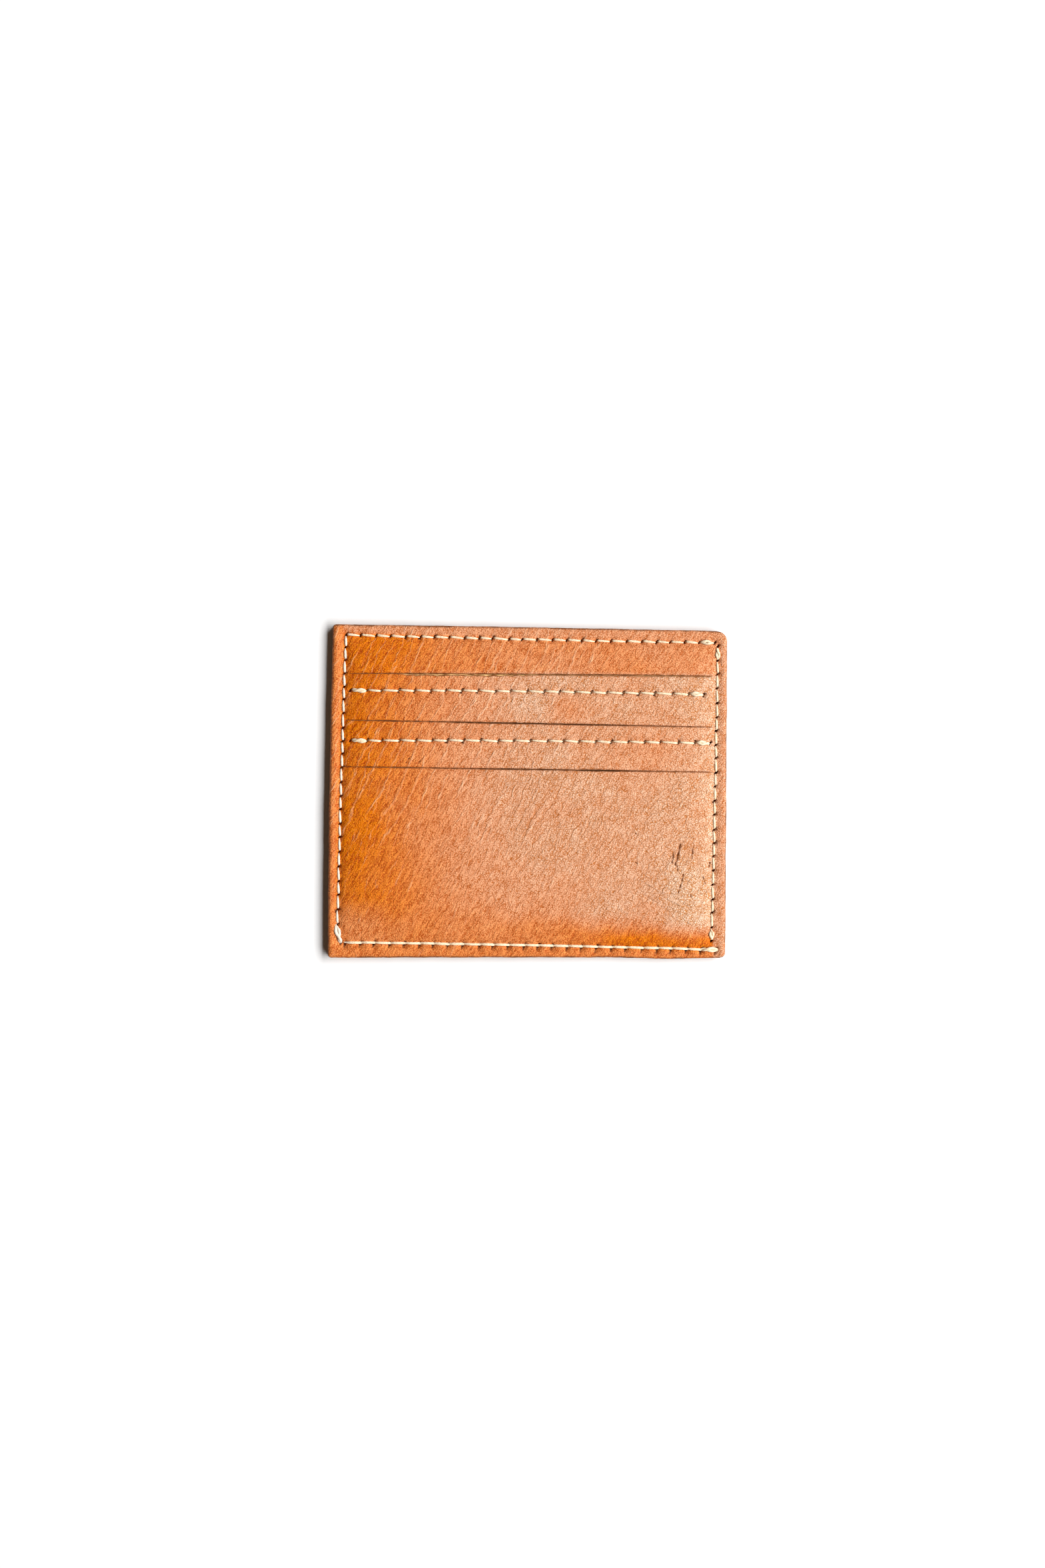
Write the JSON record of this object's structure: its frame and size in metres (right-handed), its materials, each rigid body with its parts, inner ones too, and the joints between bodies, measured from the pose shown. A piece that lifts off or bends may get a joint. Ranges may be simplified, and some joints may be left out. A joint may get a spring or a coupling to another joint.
{
  "type": "card holder",
  "caption": "Flat stitched leather card holder with card slits across its front panel, hidden pocket leaves behind them, a lined back panel and saddle-stitched edges.",
  "frame": {"origin": "centre of the back face, which lies on the table", "axes": "+X along the card slits, +Y towards the stitched top edge, +Z out of the front face"},
  "size_m": [0.0984, 0.082, 0.0044],
  "materials": {
    "face_leather": "orange tan, semi-gloss, fine creased grain",
    "back_leather": "orange tan, semi-gloss, fine grain",
    "lining_leather": "thin unfinished split, matte",
    "waxed_thread": "waxed cream polyester cord"
  },
  "bodies": {
    "root": {"front_panel": "face_leather", "back_panel": "back_leather", "inner_liner": "lining_leather", "upper_pocket_leaf": "lining_leather", "lower_pocket_leaf": "lining_leather", "top_left_seam_thread": "waxed_thread", "right_seam_thread": "waxed_thread", "bottom_seam_thread": "waxed_thread", "upper_row_thread": "waxed_thread", "lower_row_thread": "waxed_thread", "upper_foot_thread": "waxed_thread", "lower_foot_thread": "waxed_thread"}
  },
  "joints": []
}
